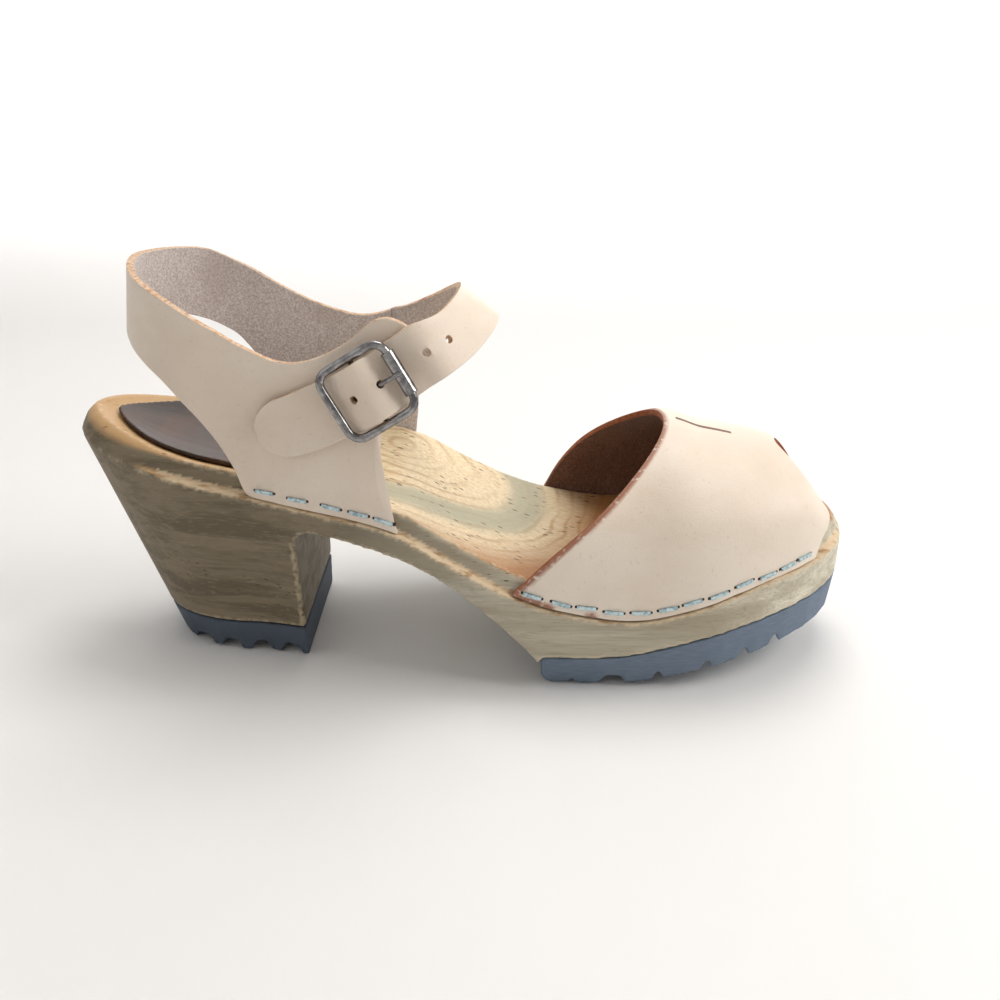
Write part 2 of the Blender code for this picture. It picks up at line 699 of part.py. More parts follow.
def strap_point(x, height, lift):
    """Outer face of the strap on the outer side, lift being its distance from the wing."""
    spot = ankle(x, LATERAL, height)
    step = LENGTH / 100
    along = ankle(x + step, LATERAL, height) - ankle(x - step, LATERAL, height)
    up = ankle(x, LATERAL, height + 0.02) - ankle(x, LATERAL, height - 0.02)
    out = along.cross(up).normalized()
    return spot + out * lift


def frame_lift():
    """Middle of the frame's wire above the wing: the strap passes under the roller."""
    return GAP * 2 + LEATHER + FRAME_RISE + ROLLER / 2


def bar_lift():
    """Middle of the centre bar above the wing: the prong's loop turns between them."""
    return GAP + PRONG_WIRE + GAP / 2 + BAR_WIRE / 2


def strap_lift(share):
    """Outer face of the strap above the wing: at rest on it, or fully over the centre bar."""
    rest = GAP + LEATHER
    over_bar = bar_lift() + BAR_WIRE / 2 + GAP / 2 + PRONG_WIRE + GAP + LEATHER
    return mix(rest, over_bar, share)


def strap_rows(steps):
    """Rows of the instep strap's outer face, from the inner wing to the tip."""
    base = ledge(LENGTH * WING_FRONT)
    rows = []
    for row in INSTEP_ROWS:
        low = Vector((LENGTH * row[0], ANKLE_WIDTH * row[1], base + BAND_HEIGHT * row[2]))
        top = Vector((LENGTH * row[3], ANKLE_WIDTH * row[4], base + BAND_HEIGHT * row[5]))
        rows.append([low.lerp(top, k / (steps - 1)) for k in range(steps)])
    for i, (along, height, half, lift) in enumerate(STRAP_ROWS):
        before = STRAP_ROWS[max(i - 1, 0)]
        after = STRAP_ROWS[min(i + 1, len(STRAP_ROWS) - 1)]
        run = Vector((LENGTH * (after[0] - before[0]), BAND_HEIGHT * (after[1] - before[1]))).normalized()
        square = Vector((run.y, -run.x)) * STRAP_WIDTH / 2 * half
        row = []
        for k in range(steps):
            t = mix(-1, 1, k / (steps - 1))
            x = LENGTH * along + square.x * t
            high = height + square.y * t / BAND_HEIGHT
            row.append(strap_point(x, high, strap_lift(lift)))
        rows.append(row)
    return rows


def bar_axes():
    """Place of the buckle: a point on the wing under the centre bar, and the axes
    along the strap to the toe, across it upwards, and out of the shoe."""
    row = next(row for row in STRAP_ROWS if row[3] == 1.0)
    before = STRAP_ROWS[STRAP_ROWS.index(row) + 3]
    after = STRAP_ROWS[STRAP_ROWS.index(row) - 3]
    spot = strap_point(LENGTH * row[0], row[1], 0.0)
    ahead = strap_point(LENGTH * after[0], after[1], 0.0)
    behind = strap_point(LENGTH * before[0], before[1], 0.0)
    along = (ahead - behind).normalized()
    out = (strap_point(LENGTH * row[0], row[1], 1.0) - spot).normalized()
    across = out.cross(along).normalized()
    out = along.cross(across)
    return spot, along, across, out


def at_bar(s, w, lift):
    spot, along, across, out = bar_axes()
    return spot + along * s + across * w + out * lift


def frame_half_width():
    return STRAP_WIDTH / 2 + FRAME_PLAY + FRAME_WIRE / 2


def frame_half_length():
    return (FRAME_LENGTH - FRAME_WIRE) / 2


def prong_path():
    """Middle line of the prong as (s, lift): a loop round the centre bar, then out over the roller."""
    reach = (BAR_WIRE + PRONG_WIRE) / 2 + GAP / 2
    points = []
    for degrees in range(-40, -281, -24):
        turn = math.radians(degrees)
        points.append((reach * math.cos(turn), bar_lift() + reach * math.sin(turn)))
    over = frame_lift() + ROLLER / 2 + GAP + PRONG_WIRE / 2
    end = frame_half_length()
    points.append((end * 0.45, mix(points[-1][1], over, 0.36)))
    points.append((end * 0.86, over))
    points.append((end + ROLLER * 0.30, over - GAP / 3))
    return points


def tab_path():
    """Middle line of the tab as (s, lift): flat on the wing, then round the centre bar and back."""
    reach = BAR_WIRE / 2 + GAP + TAB / 2
    flat = GAP + TAB / 2
    points = [(-TAB_LENGTH, flat), (-TAB_LENGTH * 0.6, flat), (-reach * 1.5, flat + GAP)]
    for degrees in range(-110, 151, 26):
        turn = math.radians(degrees)
        points.append((reach * math.cos(turn), bar_lift() + reach * math.sin(turn)))
    return points


def rod(name, centres, plane, radius, material, sides=10, closed=False):
    """Round wire along a path that lies in a plane with the normal given."""
    rows = []
    count = len(centres)
    for i, centre in enumerate(centres):
        after = centres[(i + 1) % count] if closed else centres[min(i + 1, count - 1)]
        before = centres[i - 1] if closed or i else centres[0]
        along = (after - before).normalized()
        aside = along.cross(plane).normalized()
        row = []
        for k in range(sides):
            turn = 2 * math.pi * k / sides
            row.append(centre + (aside * math.cos(turn) + plane * math.sin(turn)) * radius)
        rows.append(row)
    verts, faces = skin_rows(rows)
    if closed:
        faces = faces[:-2]
        last = (count - 1) * sides
        faces.extend((last + k, last + (k + 1) % sides, (k + 1) % sides, k) for k in range(sides))
    return new_object(name, verts, faces, material, 60)


def make_frame(material):
    """Square buckle frame of round wire, with its centre bar welded in."""
    along, out = bar_axes()[1::2]
    lift = frame_lift()
    half_s = frame_half_length() - FRAME_CORNER
    half_w = frame_half_width() - FRAME_CORNER
    path = []
    for quarter in range(4):
        corner_s = half_s if quarter in (0, 3) else -half_s
        corner_w = half_w if quarter in (0, 1) else -half_w
        for k in range(6):
            turn = math.pi / 2 * (quarter + k / 5)
            s = corner_s + FRAME_CORNER * math.cos(turn)
            w = corner_w + FRAME_CORNER * math.sin(turn)
            path.append(at_bar(s, w, lift))
    frame = rod("buckle_frame", path, out, FRAME_WIRE / 2, material, closed=True)
    wide = frame_half_width()
    inner = wide - BAR_WIRE
    dips = [(-wide, lift), (-inner, bar_lift()), (inner, bar_lift()), (wide, lift)]
    bar = rod("centre_bar", [at_bar(0, w, rise) for w, rise in dips], along, BAR_WIRE / 2, None)
    cut(frame, bar, "UNION")
    return frame


def make_roller(material):
    """Tube that turns on the frame's bar on the toe side."""
    half = frame_half_width() - FRAME_CORNER
    bore = FRAME_WIRE / 2 + GAP
    sides = 20
    rows = []
    for w, radius in ((-half, ROLLER / 2), (half, ROLLER / 2), (half, bore), (-half, bore)):
        row = []
        for k in range(sides):
            turn = 2 * math.pi * k / sides
            s = frame_half_length() + radius * math.cos(turn)
            row.append(at_bar(s, w, frame_lift() + radius * math.sin(turn)))
        rows.append(row)
    verts = [p for row in rows for p in row]
    faces = []
    for i in range(4):
        n = (i + 1) % 4
        faces.extend((i * sides + k, i * sides + (k + 1) % sides, n * sides + (k + 1) % sides, n * sides + k)
                     for k in range(sides))
    return new_object("buckle_roller", verts, faces, material, 40)


def make_prong(material):
    path = [at_bar(s, 0, lift) for s, lift in prong_path()]
    return rod("buckle_prong", path, bar_axes()[2], PRONG_WIRE / 2, material)


def make_tab(material):
    """Tab that loops round the centre bar, with a slot for the prong and a hole for the rivet."""
    half = STRAP_WIDTH / 2 - BAR_WIRE
    path = tab_path()
    rows = []
    for i, (s, lift) in enumerate(path):
        after = path[min(i + 1, len(path) - 1)]
        before = path[max(i - 1, 0)]
        run = Vector((after[0] - before[0], after[1] - before[1])).normalized() * TAB / 2
        near, far = (s + run.y, lift - run.x), (s - run.y, lift + run.x)
        rows.append([at_bar(near[0], -half, near[1]), at_bar(near[0], half, near[1]),
                     at_bar(far[0], half, far[1]), at_bar(far[0], -half, far[1])])
    verts, faces = skin_rows(rows)
    tab = new_object("buckle_tab", verts, faces, material, 50)
    wide = PRONG_WIRE / 2 + GAP * 2
    corners = []
    for s in (-TAB_LENGTH * 0.32, TAB_LENGTH):
        corners.append([at_bar(s, -wide, -LEATHER), at_bar(s, wide, -LEATHER),
                        at_bar(s, wide, LEATHER * 5), at_bar(s, -wide, LEATHER * 5)])
    verts, faces = skin_rows(corners)
    cut(tab, new_object("tab_slot_cutter", verts, faces, None))
    cut(tab, rivet_bore("tab_bore_cutter"))
    return tab


def rivet_place():
    return -TAB_LENGTH * 0.66


def turned(name, profile, s, material, sides=16):
    """A turned piece on an axis square to the wing, from (radius, lift) points with radius 0 at both ends."""
    verts, faces = [at_bar(s, 0, profile[0][1])], []
    for radius, lift in profile[1:-1]:
        for k in range(sides):
            turn = 2 * math.pi * k / sides
            verts.append(at_bar(s + radius * math.cos(turn), radius * math.sin(turn), lift))
    verts.append(at_bar(s, 0, profile[-1][1]))
    rings = len(profile) - 2
    for k in range(sides):
        n = (k + 1) % sides
        faces.append((0, 1 + k, 1 + n))
        for i in range(rings - 1):
            near, far = 1 + i * sides, 1 + (i + 1) * sides
            faces.append((near + k, far + k, far + n, near + n))
        last = 1 + (rings - 1) * sides
        faces.append((len(verts) - 1, last + n, last + k))
    return new_object(name, verts, faces, material, 40)


def rivet_bore(name):
    radius = RIVET_SHANK / 2 + GAP
    deep = LEATHER * 2
    return turned(name, ((0, -deep), (radius, -deep), (radius, deep), (0, deep)), rivet_place(), None)


def make_rivet(material):
    """Brass rivet through the tab and the wing, with its open head inside the shoe."""
    cap, head, shank = RIVET_CAP / 2, RIVET_HEAD / 2, RIVET_SHANK / 2
    top = GAP + TAB + GAP
    under = -LEATHER - GAP * 2
    profile = (
        (0, top + RIVET_FLANGE), (cap * 0.8, top + RIVET_FLANGE), (cap, top + RIVET_FLANGE * 0.5), (cap, top),
        (shank, top), (shank, under), (head, under), (head, under - RIVET_FLANGE),
        (head * 0.8, under - RIVET_FLANGE * 2), (head * 0.5, under - RIVET_FLANGE * 2),
        (head * 0.36, under - RIVET_FLANGE * 0.6), (0, under - RIVET_FLANGE * 0.6),
    )
    return turned("rivet", profile, rivet_place(), material)


def make_quarter(material):
    """Heel band, both wings and the instep strap, cut from one piece of leather."""
    steps = 9
    outer = pattern(LATERAL_ROWS + (BACK_ROW,))
    rows = [quarter_row(LATERAL, row, steps) for row in outer]
    rows.extend(quarter_row(MEDIAL, row, steps) for row in pattern((BACK_ROW,) + MEDIAL_ROWS)[1:])
    strap = strap_rows(steps)
    verts, faces = wall_from(rows + refined(strap), LEATHER)
    quarter = new_object("quarter_strap", verts, faces, material, 50)
    cut(quarter, rivet_bore("wing_bore_cutter"))
    spine = [row[steps // 2] for row in strap]
    middle = next(i for i, row in enumerate(STRAP_ROWS) if row[3] == 1.0) + len(INSTEP_ROWS)
    normals = [line[steps // 2] for line in normals_of(strap)]
    for number in (-2, -1, 2, 3):
        wanted = prong_hole() + HOLE_PITCH * number
        step = 1 if wanted < 0 else -1
        i, gone = middle, 0.0
        while gone + (spine[i + step] - spine[i]).length < abs(wanted):
            gone += (spine[i + step] - spine[i]).length
            i += step
        t = (abs(wanted) - gone) / (spine[i + step] - spine[i]).length
        spot = spine[i].lerp(spine[i + step], t)
        inward = normals[i].lerp(normals[i + step], t).normalized()
        side = inward.orthogonal().normalized()
        ends = [spot + inward * LEATHER * k for k in (-1.0, 1.12)]
        hole = rod("hole_cutter_%d" % (number + 2), ends, side, STRAP_HOLE / 2, None, sides=12)
        cut(quarter, hole)
    slot = [at_bar(s, 0, lift) for s, lift in prong_path()[-4:-1]]
    cut(quarter, rod("prong_hole_cutter", slot, bar_axes()[2], PRONG_WIRE / 2 + GAP * 1.5, None, sides=12))
    return quarter


def prong_hole():
    """Distance from the centre bar to the hole that the prong comes through."""
    return frame_half_length() * 0.40


def clear_scene():
    for piece in list(bpy.data.objects):
        bpy.data.objects.remove(piece, do_unlink=True)


clear_scene()
wood = paint("wood", (0.58, 0.42, 0.26), 0.55)
rubber = paint("rubber", (0.12, 0.15, 0.20), 0.7)
leather = paint("leather", (0.72, 0.55, 0.44), 0.5)
pad_leather = paint("pad_leather", (0.06, 0.03, 0.02), 0.3)
nickel = paint("nickel", (0.45, 0.46, 0.48), 0.2, 1.0)
brass = paint("brass", (0.62, 0.46, 0.20), 0.35, 1.0)

shoe = bpy.data.objects.new("clog", None)
bpy.context.collection.objects.link(shoe)
shoe.location = (-TREAD_MIDDLE, 0, 0)

make_base(wood)
make_heel_tread(rubber)
make_fore_tread(rubber)
make_pad(pad_leather)
make_vamp(leather)
make_quarter(leather)
make_frame(nickel)
make_roller(nickel)
make_prong(nickel)
make_tab(leather)
make_rivet(brass)

for piece in bpy.data.objects:
    if piece is not shoe:
        piece.parent = shoe
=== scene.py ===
import math

import bpy
from mathutils import Matrix, Vector
from mathutils.bvhtree import BVHTree
from mathutils.kdtree import KDTree


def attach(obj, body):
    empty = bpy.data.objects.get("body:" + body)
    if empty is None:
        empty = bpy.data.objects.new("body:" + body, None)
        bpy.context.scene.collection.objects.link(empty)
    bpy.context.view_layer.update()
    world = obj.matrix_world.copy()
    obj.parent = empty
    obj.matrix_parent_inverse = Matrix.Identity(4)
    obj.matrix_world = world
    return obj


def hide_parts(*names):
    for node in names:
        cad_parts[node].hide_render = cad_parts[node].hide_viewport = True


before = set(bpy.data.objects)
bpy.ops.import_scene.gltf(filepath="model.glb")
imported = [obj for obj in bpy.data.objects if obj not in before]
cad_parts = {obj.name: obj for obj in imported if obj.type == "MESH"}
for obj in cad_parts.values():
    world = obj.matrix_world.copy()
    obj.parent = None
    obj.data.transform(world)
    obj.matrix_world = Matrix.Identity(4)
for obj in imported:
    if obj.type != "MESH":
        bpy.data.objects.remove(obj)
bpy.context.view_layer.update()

# The studio: a pale floor sheet that curves up behind, a large soft light above and
# to the left, a weaker one from the right, and the camera of the photograph.
STAGE_PALE = (0.86, 0.85, 0.84, 1)
scene = bpy.context.scene
scene.view_settings.view_transform = "Standard"
bpy.ops.object.select_all(action="DESELECT")
bpy.ops.mesh.primitive_plane_add(size=1, location=(0.08, 0.4, -0.0005))
sweep = bpy.context.object
sweep.name = "floor_sweep"
bpy.ops.object.mode_set(mode="EDIT")
bpy.ops.transform.resize(value=(7, 5, 1))
bpy.ops.object.mode_set(mode="OBJECT")
for edge in sweep.data.edges:
    ends = [sweep.data.vertices[i] for i in edge.vertices]
    edge.select = all(v.co.y > 0 for v in ends)
for vertex in sweep.data.vertices:
    vertex.select = vertex.co.y > 0
bpy.ops.object.mode_set(mode="EDIT")
bpy.ops.mesh.select_mode(type="EDGE")
bpy.ops.mesh.extrude_region_move(TRANSFORM_OT_translate={"value": (0, 0, 3)})
bpy.ops.object.mode_set(mode="OBJECT")
bend = sweep.modifiers.new("corner", "BEVEL")
bend.width = 1.2
bend.segments = 16
bpy.ops.object.modifier_apply(modifier=bend.name)
bpy.ops.object.shade_smooth()
paper = bpy.data.materials.new("studio_paper")
paper.use_nodes = True
paper.node_tree.nodes["Principled BSDF"].inputs["Base Color"].default_value = STAGE_PALE
paper.node_tree.nodes["Principled BSDF"].inputs["Roughness"].default_value = 0.9
sweep.data.materials.append(paper)

world = bpy.data.worlds.new("soft_room")
scene.world = world
world.use_nodes = True
world.node_tree.nodes["Background"].inputs["Color"].default_value = (0.93, 0.96, 1.0, 1)
world.node_tree.nodes["Background"].inputs["Strength"].default_value = 0.42

LAMPS = (
    # name, place, watts, width, colour, aimed at
    ("window_right", (0.85, -0.12, 0.60), 4.7, 0.50, (1.0, 0.985, 0.96), (0.08, 0.0, 0.05)),
    ("top_panel", (0.20, 0.30, 0.95), 4.0, 0.50, (1.0, 0.985, 0.96), (0.06, 0.0, 0.06)),
    ("fill_left", (-0.80, -0.50, 0.70), 0.8, 0.8, (0.97, 0.98, 1.0), (0.06, 0.0, 0.06)),
    ("wall_wash", (0.10, 1.20, 1.60), 60.0, 1.2, (1.0, 1.0, 1.0), (0.10, 2.60, 0.90)),
)
for name, place, watts, width, colour, target in LAMPS:
    lamp = bpy.data.lights.new(name, "AREA")
    lamp.energy = watts
    lamp.size = width
    lamp.color = colour
    holder = bpy.data.objects.new(name, lamp)
    scene.collection.objects.link(holder)
    holder.location = place
    aim = Vector(target) - Vector(place)
    holder.rotation_euler = aim.to_track_quat("-Z", "Y").to_euler()

camera = bpy.data.cameras.new("photo_camera")
camera.sensor_width = 36
camera.lens = 37.25
camera.clip_start = 0.01
viewpoint = bpy.data.objects.new("photo_camera", camera)
scene.collection.objects.link(viewpoint)
viewpoint.location = (0.0872, -0.3179, 0.1885)
viewpoint.rotation_euler = (math.radians(65.7), 0, math.radians(0.5))
scene.camera = viewpoint

# The wooden base: one block of pale hardwood, routed along the upper edge for the leather,
# hollowed for the foot, with the arch and the heel band-sawn and sanded, then oiled.
WOOD_VOXEL = 0.00085
FOOT_FACES = (0.55, 0.80)  # a normal's rise, from bare side to footbed
HEEL_CENTRE = 0.03  # the two ends of the line that the ledge runs round
TOE_CENTRE = 0.15
LEDGE_BACK = -0.02  # nothing is routed behind this
LEDGE_RISE = 0.45  # the least rise of a ledge face's normal
RISER_LEVEL = 0.0022  # height above the ledge at which the riser is looked for
RISER_REACH = 0.0062
CORNER_TURN = (0.30, 0.55)  # turn of the normal over one voxel, from flat to sharp corner
RING_HEART = (0.0500, 0.0200, 0)  # where the growth rings of the footbed close
RINGS = 980  # radians of ring pattern in a metre


class Tone:
    """One socket of a finish's nodes, so that sums on it are written as plain maths."""

    def __init__(self, tree, socket=None):
        self.tree = tree
        self.socket = socket

    def node(self, kind, settings, values, output=0):
        made = self.tree.nodes.new("ShaderNode" + kind)
        for name, value in settings.items():
            if name == "stops":
                ramp = made.color_ramp
                while len(ramp.elements) < len(value):
                    ramp.elements.new(0.5)
                for stop, (place, colour) in zip(ramp.elements, value):
                    stop.position = place
                    stop.color = colour
            else:
                setattr(made, name, value)
        for name, value in values.items():
            socket = made.inputs[name]
            if isinstance(value, Tone):
                self.tree.links.new(value.socket, socket)
            else:
                socket.default_value = value
        outlet = made.outputs[output] if made.outputs else None
        return Tone(self.tree, outlet)

    def sum(self, operation, *values):
        return self.node("Math", {"operation": operation}, dict(enumerate(values)))

    def __add__(self, other):
        return self.sum("ADD", self, other)

    __radd__ = __add__

    def __sub__(self, other):
        return self.sum("SUBTRACT", self, other)

    def __rsub__(self, other):
        return self.sum("SUBTRACT", other, self)

    def __mul__(self, other):
        return self.sum("MULTIPLY", self, other)

    __rmul__ = __mul__

    def ramp(self, low, high):
        """0 below low, 1 above high and smooth between; low may be the greater."""
        falls = low > high
        values = {"Value": self, "From Min": min(low, high), "From Max": max(low, high)}
        values.update({"To Min": float(falls), "To Max": float(not falls)})
        return self.node("MapRange", {"interpolation_type": "SMOOTHSTEP"}, values)

    def noise(self, at, scale, detail=3.0, roughness=0.5, distortion=0.0):
        values = {"Vector": at, "Scale": scale, "Detail": detail, "Roughness": roughness}
        values["Distortion"] = distortion
        return self.node("TexNoise", {}, values)

    def cells(self, at, scale):
        return self.node("TexVoronoi", {}, {"Vector": at, "Scale": scale}, "Distance")

    def stretched(self, at, scale, turn=(0, 0, 0)):
        return self.node("Mapping", {}, {"Vector": at, "Rotation": turn, "Scale": scale})

    def blend(self, low, high, share):
        settings = {"data_type": "RGBA", "clamp_factor": True}
        return self.node("Mix", settings, {0: share, 6: low, 7: high}, 2)

    def grown(self, name):
        """A value that the mesh carries at each of its points."""
        return self.node("Attribute", {"attribute_name": name}, {}, "Fac")


def shade(red, green, blue):
    """A colour as the eye reads it, 0 to 255, turned into light."""
    parts = [c / 255 for c in (red, green, blue)]
    light = [c / 12.92 if c < 0.04 else ((c + 0.055) / 1.055) ** 2.4 for c in parts]
    return tuple(light) + (1,)


def new_finish(name):
    """An empty finish, its starting tone and its Object coordinates."""
    material = bpy.data.materials.new(name)
    material.use_nodes = True
    material.node_tree.nodes.clear()
    start = Tone(material.node_tree)
    return material, start, start.node("TexCoord", {}, {}, "Object")


def complete(start, colour, roughness, height, lift, **constants):
    """Ends a finish: height runs from 0 to 1 and stands lift metres tall."""
    relief = start.node("Bump", {}, {"Strength": 1.0, "Distance": lift, "Height": height})
    values = {"Base Color": colour, "Roughness": roughness, "Normal": relief}
    values.update({name.replace("_", " "): value for name, value in constants.items()})
    shader = start.node("BsdfPrincipled", {}, values, "BSDF")
    start.node("OutputMaterial", {}, {"Surface": shader})


def from_cad(node, name):
    """A piece that starts as the CAD node's own shape, with its loose triangles merged."""
    bpy.ops.object.select_all(action="DESELECT")
    piece = bpy.data.objects.new(name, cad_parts[node].data.copy())
    scene.collection.objects.link(piece)
    bpy.context.view_layer.objects.active = piece
    piece.select_set(True)
    piece.data.materials.clear()
    bpy.ops.mesh.customdata_custom_splitnormals_clear()
    bpy.ops.object.mode_set(mode="EDIT")
    bpy.ops.mesh.select_all(action="SELECT")
    bpy.ops.mesh.remove_doubles(threshold=0.00001)
    bpy.ops.object.mode_set(mode="OBJECT")
    return piece


def apply(piece, kind, **settings):
    """Adds a modifier to the piece and applies it."""
    bpy.context.view_layer.objects.active = piece
    made = piece.modifiers.new(kind.lower(), kind)
    for name, value in settings.items():
        setattr(made, name, value)
    bpy.ops.object.modifier_apply(modifier=made.name)


def grow(piece, name, rule):
    """Stores rule(place, normal) at each point of the piece's mesh."""
    mesh = piece.data
    layer = mesh.attributes.new(name, "FLOAT", "POINT")
    layer.data.foreach_set("value", [rule(v.co, v.normal) for v in mesh.vertices])


def tree_of(piece):
    """The piece's faces, sorted so that a ray finds the nearest."""
    mesh = piece.data
    corners = [v.co for v in mesh.vertices]
    return BVHTree.FromPolygons(corners, [tuple(face.vertices) for face in mesh.polygons])


def step(value, low, high):
    """0 at low, 1 at high and smooth between; low may be the greater."""
    t = min(max((value - low) / (high - low), 0.0), 1.0)
    return t * t * (3 - 2 * t)


base = from_cad("wood_base", "clog_base")
apply(base, "REMESH", mode="VOXEL", voxel_size=WOOD_VOXEL)
apply(base, "SMOOTH", factor=0.5, iterations=4)
bpy.ops.object.shade_smooth()
grow(base, "bed", lambda co, n: step(n.z, *FOOT_FACES))
solid = tree_of(base)


def ledge_share(co, n):
    """1 on the routed ledge: an up-facing strip with the riser just inside it."""
    if n.z < LEDGE_RISE or co.x < LEDGE_BACK:
        return 0.0
    inward = Vector((min(max(co.x, HEEL_CENTRE), TOE_CENTRE) - co.x, -co.y, 0))
    probe = co + n * 0.0004 + Vector((0, 0, RISER_LEVEL))
    hit = solid.ray_cast(probe, inward.normalized(), RISER_REACH)
    return 1.0 if hit[0] is not None else 0.0


grow(base, "ledge", ledge_share)
turns = [0.0] * len(base.data.vertices)
for edge in base.data.edges:
    a, b = (base.data.vertices[i] for i in edge.vertices)
    away = b.co - a.co
    turn = (b.normal - a.normal).dot(away) / away.length_squared * WOOD_VOXEL
    for i in edge.vertices:
        turns[i] = max(turns[i], turn)
corner = base.data.attributes.new("corner", "FLOAT", "POINT")
corner.data.foreach_set("value", [step(turn, *CORNER_TURN) for turn in turns])

wood, start, at = new_finish("oiled_wood")
along = start.node("SeparateXYZ", {}, {"Vector": at}, "X")
bed = start.grown("bed")
ledge = start.grown("ledge")
drift = start.noise(start.stretched(at, (14, 22, 22)), 1.0, 2.0)
fibre = start.noise(start.stretched(at, (90, 1500, 1500)), 1.0, 3.0, 0.6)
streak = start.noise(start.stretched(at, (7, 120, 170)), 1.0, 4.0, 0.6, 0.4)
broad = start.noise(start.stretched(at, (3, 28, 40)), 1.0, 3.0, 0.55)
dashes = start.cells(start.stretched(at, (190, 900, 700)), 1.0).ramp(0.24, 0.10)
dashed_area = start.noise(start.stretched(at, (30, 60, 60)), 1.0, 1.0).ramp(0.50, 0.62)
dashes = dashes * dashed_area
side = start.blend(shade(188, 179, 158), shade(226, 219, 200), streak.ramp(0.35, 0.68))
side = start.blend(side, shade(146, 134, 110), broad.ramp(0.52, 0.72) * 0.5)
side = start.blend(side, shade(150, 140, 114), fibre.ramp(0.45, 0.72) * 0.5)
# Painted shade: the side wood turns darker towards the heel, where the heel's side lies in shade;
# its streaks and fibres are the grain's own.
heel_shaded_wood = start.blend(shade(132, 119, 97), shade(104, 92, 72), streak.ramp(0.40, 0.62))
heel_shaded_wood = start.blend(heel_shaded_wood, shade(146, 132, 106), fibre.ramp(0.50, 0.75) * 0.6)
side = start.blend(heel_shaded_wood, side, along.ramp(0.02, 0.11))
side = start.blend(side, shade(60, 42, 26), dashes * 0.8)
heart = start.node("VectorMath", {"operation": "SUBTRACT"}, {0: at, 1: RING_HEART})
heart = start.node("VectorMath", {"operation": "MULTIPLY"}, {0: heart, 1: (1.0, 1.05, 0.0)})
reach = start.node("VectorMath", {"operation": "LENGTH"}, {0: heart}, "Value")
reach = reach + (drift - 0.5) * 0.018 + (streak - 0.5) * 0.0022
wave = start.sum("SINE", reach * RINGS + (drift - 0.5) * 9)
rings = wave.ramp(0.30, 1.0) * broad.ramp(0.30, 0.55)
top = start.blend(shade(240, 222, 188), shade(218, 190, 144), fibre.ramp(0.35, 0.70))
top = start.blend(top, shade(184, 140, 90), rings * 0.55)
green = reach.ramp(0.031, 0.038) * reach.ramp(0.052, 0.043) * (0.55 + 0.5 * broad)
top = start.blend(top, shade(168, 166, 140), green)
# Darker orange-brown far from the ring heart, mostly under the vamp: partly the wood's own tone,
# partly painted shade under the vamp.
top = start.blend(top, shade(166, 106, 50), reach.ramp(0.048, 0.076) * 0.9)
top = start.blend(top, shade(212, 176, 126), along.ramp(0.045, 0.0) * 0.7)
slanted = start.stretched(at, (170, 520, 300), (0, 0, 0.35))
flecks = start.cells(slanted, 1.0).ramp(0.26, 0.12)
flecks = flecks * start.noise(at, 70.0, 1.0).ramp(0.47, 0.58)
top = start.blend(top, shade(74, 44, 22), flecks * 0.85)
colour = start.blend(side, top, bed)
torn = start.noise(start.stretched(at, (120, 500, 500)), 1.0, 3.0).ramp(0.45, 0.66)
raw = start.blend(shade(226, 204, 170), shade(176, 140, 98), torn)
colour = start.blend(colour, raw, ledge * 0.85)
corner = start.grown("corner") * start.noise(at, 420.0, 3.0).ramp(0.36, 0.60)
colour = start.blend(colour, shade(232, 212, 178), corner * 0.4)
splinters = ledge * start.noise(start.stretched(at, (200, 700, 700)), 1.0, 3.0)
height = fibre * 0.5 + streak * 0.3 + splinters * 1.4 - (dashes + flecks) * 0.5
dull = 0.55 - 0.12 * bed + 0.1 * streak
complete(start, colour, dull, height, 0.00022, Specular_IOR_Level=0.4)
base.data.materials.append(wood)
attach(base, "root")
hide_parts("wood_base")

# The treads: grey-blue rubber, moulded with its lugs and glued under the heel and the
# forefoot; the sides are ground flush with the wood, so they are slightly dull and scuffed.
TREAD_VOXEL = 0.0006
rubber, start, at = new_finish("ground_rubber")
grind = start.noise(start.stretched(at, (260, 260, 2400)), 1.0, 3.0, 0.6)
dust = start.noise(at, 45.0, 4.0, 0.6)
speck = start.noise(at, 2600.0, 2.0, 0.6)
along = start.node("SeparateXYZ", {}, {"Vector": at}, "X")
colour = start.blend(shade(106, 120, 137), shade(118, 132, 149), grind.ramp(0.30, 0.72))
colour = start.blend(colour, shade(128, 138, 150), dust.ramp(0.52, 0.72) * 0.35)
# Painted shade: the rubber turns darker towards the heel, where the heel tread lies in shade.
colour = start.blend(shade(78, 88, 100), colour, along.ramp(0.02, 0.09))
complete(start, colour, 0.62 + 0.2 * speck, grind * 0.5 + speck * 0.5, 0.00010,
         Specular_IOR_Level=0.35)
for node, name in (("heel_outsole", "heel_tread"), ("forefoot_outsole", "forefoot_tread")):
    tread = from_cad(node, name)
    apply(tread, "REMESH", mode="VOXEL", voxel_size=TREAD_VOXEL)
    apply(tread, "SMOOTH", factor=0.5, iterations=3)
    bpy.ops.object.shade_smooth()
    tread.data.materials.append(rubber)
    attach(tread, "root")
    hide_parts(node)

# The heel pad: thin dark-brown leather with a soft gloss, its edge skived and glued
# into the cup of the heel. Its middle is left bare.
PAD_VOXEL = 0.0004
pad = from_cad("heel_pad", "heel_pad_cover")
apply(pad, "REMESH", mode="VOXEL", voxel_size=PAD_VOXEL)
apply(pad, "SMOOTH", factor=0.5, iterations=6)
bpy.ops.object.shade_smooth()
patent, start, at = new_finish("glossy_pad_leather")
pores = start.cells(at, 1500.0).ramp(0.0, 0.5)
cloud = start.noise(at, 60.0, 4.0, 0.55)
colour = start.blend(shade(44, 26, 16), shade(78, 48, 30), cloud.ramp(0.35, 0.70))
complete(start, colour, 0.36 + 0.15 * cloud, pores * 0.6 + cloud * 0.4, 0.00006,
         Specular_IOR_Level=0.35, Coat_Weight=0.08, Coat_Roughness=0.25)
pad.data.materials.append(patent)
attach(pad, "root")
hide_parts("heel_pad")

